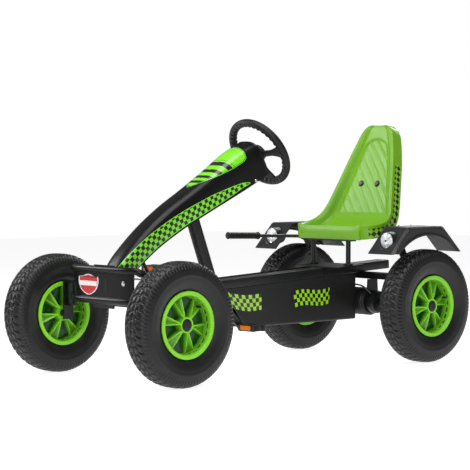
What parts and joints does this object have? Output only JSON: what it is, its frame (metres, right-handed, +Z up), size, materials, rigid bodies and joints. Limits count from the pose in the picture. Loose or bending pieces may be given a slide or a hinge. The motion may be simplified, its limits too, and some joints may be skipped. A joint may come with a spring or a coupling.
{
  "type": "pedal go kart",
  "caption": "Ride-on pedal go kart with pneumatic tyres, bucket seat, arched steering fairing, chain drive, hand brake and mudguards.",
  "frame": {"origin": "on the ground, midway between the axles on the centre plane", "axes": "+X towards the rider's left, -Y forwards, +Z up"},
  "size_m": [0.736, 1.544, 0.8567],
  "materials": {
    "black_frame": "satin black powder coat",
    "gloss_black": "gloss black moulding with lime trim",
    "black_plastic": "fine-textured matt black moulding",
    "cable_sheath": "smooth dark sheath",
    "grip_rubber": "soft ribbed grip",
    "tyre": "matt black rubber with block tread",
    "lime_rim": "lime green gloss",
    "green_seat": "apple green glossy moulding",
    "zinc_steel": "bright zinc plate",
    "lamp_lens": "silvery clear lens"
  },
  "bodies": {
    "frame": {"axle_bearing_left": "zinc_steel", "axle_bearing_right": "zinc_steel", "axle_hanger_left": "black_frame", "axle_hanger_middle": "black_frame", "axle_hanger_right": "black_frame", "axle_pivot_pin": "zinc_steel", "brake_cable": "cable_sheath", "brake_housing": "black_frame", "bumper_lower_tube": "black_frame", "bumper_plate": "black_frame", "bumper_upper_tube": "black_frame", "chain": "zinc_steel", "chain_case": "black_plastic", "chain_case_rear": "black_plastic", "column_bearing_lower": "black_frame", "column_bearing_middle": "black_plastic", "column_bearing_upper": "black_plastic", "crank_shell": "black_frame", "drive_housing": "black_plastic", "fairing": "gloss_black", "front_bracket": "black_frame", "handbrake_bracket": "black_frame", "lamp_body_left": "black_plastic", "lamp_body_right": "black_plastic", "lamp_lens_left": "lamp_lens", "lamp_lens_right": "lamp_lens", "main_rail_left": "black_frame", "main_rail_right": "black_frame", "mudguard_bracket_left": "black_frame", "mudguard_bracket_right": "black_frame", "mudguard_left": "black_plastic", "mudguard_right": "black_plastic", "rear_cross_tube": "black_frame", "strut": "black_frame"},
    "front_axle": {"front_axle_beam": "black_frame"},
    "knuckle_left": {"knuckle_left": "black_frame"},
    "knuckle_right": {"knuckle_right": "black_frame"},
    "front_wheel_left": {"front_wheel_left_tyre": "tyre", "front_wheel_left_rim": "lime_rim"},
    "front_wheel_right": {"front_wheel_right_tyre": "tyre", "front_wheel_right_rim": "lime_rim"},
    "tie_rod_left": {"tie_rod_left": "zinc_steel"},
    "tie_rod_right": {"tie_rod_right": "zinc_steel"},
    "steering": {"steering_wheel": "black_plastic", "steering_column": "zinc_steel"},
    "rear_axle": {"rear_axle": "zinc_steel", "rear_wheel_left_tyre": "tyre", "rear_wheel_left_rim": "lime_rim"},
    "rear_wheel_right": {"rear_wheel_right_tyre": "tyre", "rear_wheel_right_rim": "lime_rim"},
    "crank": {"crankset": "zinc_steel"},
    "pedal_left": {"pedal_left": "black_plastic"},
    "pedal_right": {"pedal_right": "black_plastic"},
    "seat": {"seat_shell": "green_seat", "seat_carriage": "black_frame", "seat_cross_bar": "black_frame", "seat_post_left": "black_frame", "seat_post_right": "black_frame"},
    "handbrake": {"handbrake_lever": "zinc_steel", "handbrake_grip": "grip_rubber"}
  },
  "joints": [
    {"name": "axle_rock", "type": "hinge", "parent": "frame", "child": "front_axle", "pos_m": [0, -0.572, 0.262], "axis": [0, 1, 0], "range_deg": [-5, 5]},
    {"name": "knuckle_left_turn", "type": "hinge", "parent": "front_axle", "child": "knuckle_left", "pos_m": [0.235, -0.572, 0.27], "axis": [0, 0, 1], "range_deg": [-25, 25]},
    {"name": "knuckle_right_turn", "type": "hinge", "parent": "front_axle", "child": "knuckle_right", "pos_m": [-0.235, -0.572, 0.27], "axis": [0, 0, 1], "range_deg": [-25, 25]},
    {"name": "tie_rod_left_swing", "type": "hinge", "parent": "knuckle_left", "child": "tie_rod_left", "pos_m": [0.235, -0.462, 0.3206], "axis": [0, 0, 1], "range_deg": [-25, 25]},
    {"name": "tie_rod_right_swing", "type": "hinge", "parent": "knuckle_right", "child": "tie_rod_right", "pos_m": [-0.235, -0.462, 0.3206], "axis": [0, 0, 1], "range_deg": [-25, 25]},
    {"name": "steering_turn", "type": "hinge", "parent": "frame", "child": "steering", "pos_m": [0, 0.067, 0.743], "axis": [0, -0.848, -0.5299], "range_deg": [-27.5, 27.5]},
    {"name": "front_wheel_left_spin", "type": "hinge", "parent": "knuckle_left", "child": "front_wheel_left", "pos_m": [0.318, -0.572, 0.2], "axis": [1, 0, 0], "continuous": true},
    {"name": "front_wheel_right_spin", "type": "hinge", "parent": "knuckle_right", "child": "front_wheel_right", "pos_m": [-0.318, -0.572, 0.2], "axis": [1, 0, 0], "continuous": true},
    {"name": "rear_axle_spin", "type": "hinge", "parent": "frame", "child": "rear_axle", "pos_m": [0, 0.572, 0.2], "axis": [1, 0, 0], "continuous": true},
    {"name": "rear_wheel_right_spin", "type": "hinge", "parent": "frame", "child": "rear_wheel_right", "pos_m": [-0.318, 0.572, 0.2], "axis": [1, 0, 0], "continuous": true},
    {"name": "crank_spin", "type": "hinge", "parent": "frame", "child": "crank", "pos_m": [0, -0.195, 0.24811], "axis": [1, 0, 0], "continuous": true},
    {"name": "pedal_left_spin", "type": "hinge", "parent": "crank", "child": "pedal_left", "pos_m": [0.128, -0.08895, 0.14922], "axis": [1, 0, 0], "continuous": true},
    {"name": "pedal_right_spin", "type": "hinge", "parent": "crank", "child": "pedal_right", "pos_m": [-0.128, -0.30105, 0.347], "axis": [1, 0, 0], "continuous": true},
    {"name": "seat_slide", "type": "slide", "parent": "frame", "child": "seat", "axis": [0, 0.9988, 0.0495], "range_m": [-0.15, 0.1]},
    {"name": "handbrake_pull", "type": "hinge", "parent": "frame", "child": "handbrake", "pos_m": [-0.214, 0.53, 0.385], "axis": [-1, 0, 0], "range_deg": [0, 40]}
  ],
  "couplings": [
    {"joint": "knuckle_right_turn", "follows": "knuckle_left_turn", "ratio": 1},
    {"joint": "steering_turn", "follows": "knuckle_left_turn", "ratio": -1.1},
    {"joint": "tie_rod_left_swing", "follows": "knuckle_left_turn", "ratio": -1},
    {"joint": "tie_rod_right_swing", "follows": "knuckle_left_turn", "ratio": -1},
    {"joint": "crank_spin", "follows": "rear_axle_spin", "ratio": 0.5}
  ]
}
